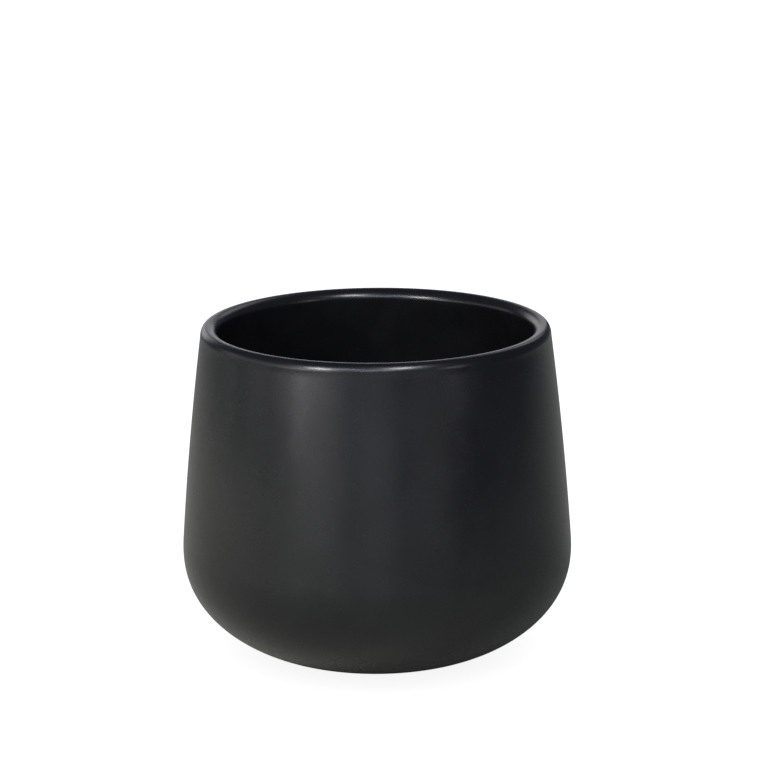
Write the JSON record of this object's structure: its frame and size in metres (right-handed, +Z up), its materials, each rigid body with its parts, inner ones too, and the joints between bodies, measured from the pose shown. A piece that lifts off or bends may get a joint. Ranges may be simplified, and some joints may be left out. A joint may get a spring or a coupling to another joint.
{
  "type": "empty candle jar",
  "caption": "Squat round-bellied stoneware candle jar, empty and open at the top, narrowing to a rounded lip, satin black glaze all over except a bare foot ring.",
  "frame": {"origin": "centre of the foot ring, on the surface that the jar stands on", "axes": "+Z up along the jar's axis of revolution; X and Y are square to it, and any turn about Z is the same"},
  "size_m": [0.0962, 0.0962, 0.0817],
  "materials": {
    "bare_clay": "matte",
    "satin_glaze": "satin",
    "liner_glaze": "satin",
    "foot_glaze": "satin"
  },
  "bodies": {
    "root": {"stoneware_body": "bare_clay", "outer_glaze": "satin_glaze", "liner_glaze": "liner_glaze", "base_glaze": "foot_glaze"}
  },
  "joints": []
}
